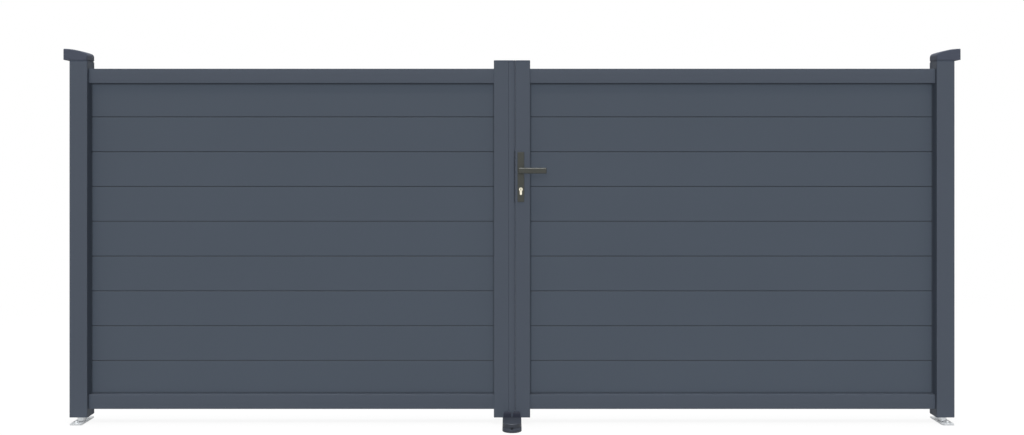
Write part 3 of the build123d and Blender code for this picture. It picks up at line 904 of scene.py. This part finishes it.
@dataclass(frozen=True)
class Lamp:
    """One far lamp.

    Angles are to the left of straight in front and above the ground, strength is the light on a surface that
    faces the lamp, and spread is its apparent width, which softens shadows and shine.
    """

    name: str
    role: Role
    left_deg: float
    up_deg: float
    strength: float
    spread_deg: float

    def build(self) -> None:
        """Add the lamp to the scene."""
        light = bpy.data.lights.new(self.name, "SUN")
        light.energy = self.strength
        light.angle = math.radians(self.spread_deg)
        light.use_shadow = self.role is not Role.FILL
        holder = bpy.data.objects.new(self.name, light)
        holder.visible_diffuse = self.role is not Role.SHINE
        holder.visible_glossy = self.role is Role.SHINE
        bpy.context.scene.collection.objects.link(holder)
        left = math.radians(self.left_deg)
        up = math.radians(self.up_deg)
        aim = Vector((math.sin(left) * math.cos(up), math.cos(left) * math.cos(up), -math.sin(up)))
        holder.rotation_euler = aim.to_track_quat("-Z", "Y").to_euler()


@dataclass
class Studio:
    """White floor and background, soft lamps and the camera of the reference view, in metres."""

    image_width: int = 1024
    image_height: int = 435
    horizon_row: float = 153.0
    lens_mm: float = 35.0
    sensor_mm: float = 36.0
    camera_height: float = 1.2069
    camera_distance: float = 4.4777
    camera_reach: float = 200.0
    floor_size: float = 80.0
    floor_drop: float = 0.0004
    floor_near: float = 2.1
    floor_far: float = 5.1
    floor_white: float = 0.90
    floor_dull: str = "#5a5a5a"
    floor_pale: str = "#e6e6e6"
    ambient: float = 0.12
    ambient_tint: str = "#f6f8ff"
    white: str = "#ffffff"
    lamps: tuple[Lamp, ...] = (
        Lamp("left_fill", Role.FILL, left_deg=25.0, up_deg=8.0, strength=1.27, spread_deg=20.0),
        Lamp("right_fill", Role.FILL, left_deg=-25.0, up_deg=8.0, strength=0.95, spread_deg=20.0),
        Lamp("back_fill", Role.FILL, left_deg=180.0, up_deg=8.0, strength=2.5, spread_deg=20.0),
        Lamp("top_lamp", Role.SHADE, left_deg=0.0, up_deg=90.0, strength=3.6, spread_deg=12.0),
        Lamp("key_lamp", Role.SHADE, left_deg=5.0, up_deg=16.0, strength=0.4, spread_deg=24.0),
        Lamp("edge_lamp", Role.SHINE, left_deg=10.0, up_deg=60.0, strength=3.0, spread_deg=10.0),
    )

    def build(self) -> None:
        """Build the stage, the lamps and the camera."""
        bpy.context.scene.view_settings.view_transform = "Standard"
        self.world()
        self.floor()
        for lamp in self.lamps:
            lamp.build()
        self.camera()

    def seen_directly(self, tree: bpy.types.NodeTree) -> bpy.types.NodeSocket:
        """Tell the rays that look at the stage from those that only carry its light.

        Args:
            tree: Tree of the world or of the floor.

        Returns:
            Socket that is 1 for camera, glossy and transmission rays, and 0 for the light on surfaces.
        """
        path = add_node(tree, "ShaderNodeLightPath").outputs
        sharp = add_node(tree, "ShaderNodeMath", {
            0: path["Is Camera Ray"], 1: path["Is Glossy Ray"],
        }, operation="MAXIMUM")
        seen = add_node(tree, "ShaderNodeMath", {
            0: sharp.outputs["Value"], 1: path["Is Transmission Ray"],
        }, operation="MAXIMUM")
        return seen.outputs["Value"]

    def world(self) -> None:
        """Make a world that is white where it is looked at and softer as the ambient light."""
        world = bpy.data.worlds.new("white_studio")
        bpy.context.scene.world = world
        world.use_nodes = True
        tree = world.node_tree
        tree.nodes.clear()
        ambient = add_node(tree, "ShaderNodeBackground", {
            "Color": linear(self.ambient_tint), "Strength": self.ambient,
        })
        white = add_node(tree, "ShaderNodeBackground", {"Color": linear(self.white), "Strength": 1.0})
        mixed = add_node(tree, "ShaderNodeMixShader", {
            0: self.seen_directly(tree), 1: ambient.outputs[0], 2: white.outputs[0],
        })
        add_node(tree, "ShaderNodeOutputWorld", {"Surface": mixed.outputs[0]})

    def floor(self) -> None:
        """Make a pale floor that keeps the gate's shadow, is white far off and throws back little light."""
        half = self.floor_size / 2
        mesh = bpy.data.meshes.new("pale_floor")
        corners = [(-half, -half), (half, -half), (half, half), (-half, half)]
        mesh.from_pydata([(x, y, -self.floor_drop) for x, y in corners], [], [(0, 1, 2, 3)])
        floor = bpy.data.objects.new("pale_floor", mesh)
        bpy.context.scene.collection.objects.link(floor)
        material = bpy.data.materials.new("pale_studio_floor")
        material.use_nodes = True
        tree = material.node_tree
        tree.nodes.clear()
        dull = add_node(tree, "ShaderNodeBsdfDiffuse", {"Color": linear(self.floor_dull)})
        pale = add_node(tree, "ShaderNodeBsdfDiffuse", {"Color": linear(self.floor_pale)})
        white = add_node(tree, "ShaderNodeEmission", {"Color": linear(self.white), "Strength": 1.0})
        place = add_node(tree, "ShaderNodeTexCoord").outputs["Object"]
        reach = add_node(tree, "ShaderNodeVectorMath", {0: place}, operation="LENGTH")
        far = add_node(tree, "ShaderNodeMapRange", {
            "Value": reach.outputs["Value"],
            "From Min": self.floor_near,
            "From Max": self.floor_far,
            "To Min": self.floor_white,
            "To Max": 1.0,
        }, interpolation_type="SMOOTHSTEP")
        bright = add_node(tree, "ShaderNodeMixShader", {
            0: far.outputs["Result"], 1: pale.outputs[0], 2: white.outputs[0],
        })
        mixed = add_node(tree, "ShaderNodeMixShader", {
            0: self.seen_directly(tree), 1: dull.outputs[0], 2: bright.outputs[0],
        })
        add_node(tree, "ShaderNodeOutputMaterial", {"Surface": mixed.outputs[0]})
        mesh.materials.append(material)

    def camera(self) -> None:
        """Set a level camera in front of the middle, with its horizon given by the lens shift."""
        lens = bpy.data.cameras.new("front_camera")
        lens.sensor_fit = "HORIZONTAL"
        lens.sensor_width = self.sensor_mm
        lens.lens = self.lens_mm
        lens.shift_y = (self.horizon_row - self.image_height / 2) / self.image_width
        lens.clip_end = self.camera_reach
        camera = bpy.data.objects.new("front_camera", lens)
        bpy.context.scene.collection.objects.link(camera)
        camera.location = (0.0, -self.camera_distance, self.camera_height)
        camera.rotation_euler = (math.pi / 2, 0.0, 0.0)
        bpy.context.scene.camera = camera


def main() -> None:
    """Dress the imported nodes, add the small pieces and set up the studio."""
    logging.basicConfig(level=logging.INFO, format="%(message)s")
    PackedNodes(SkinTool()).dress()
    MeetingSeal(StripTool()).build()
    Fasteners(FastenerTool()).build()
    CylinderFace().build()
    Studio().build()


if __name__ == "__main__":
    main()
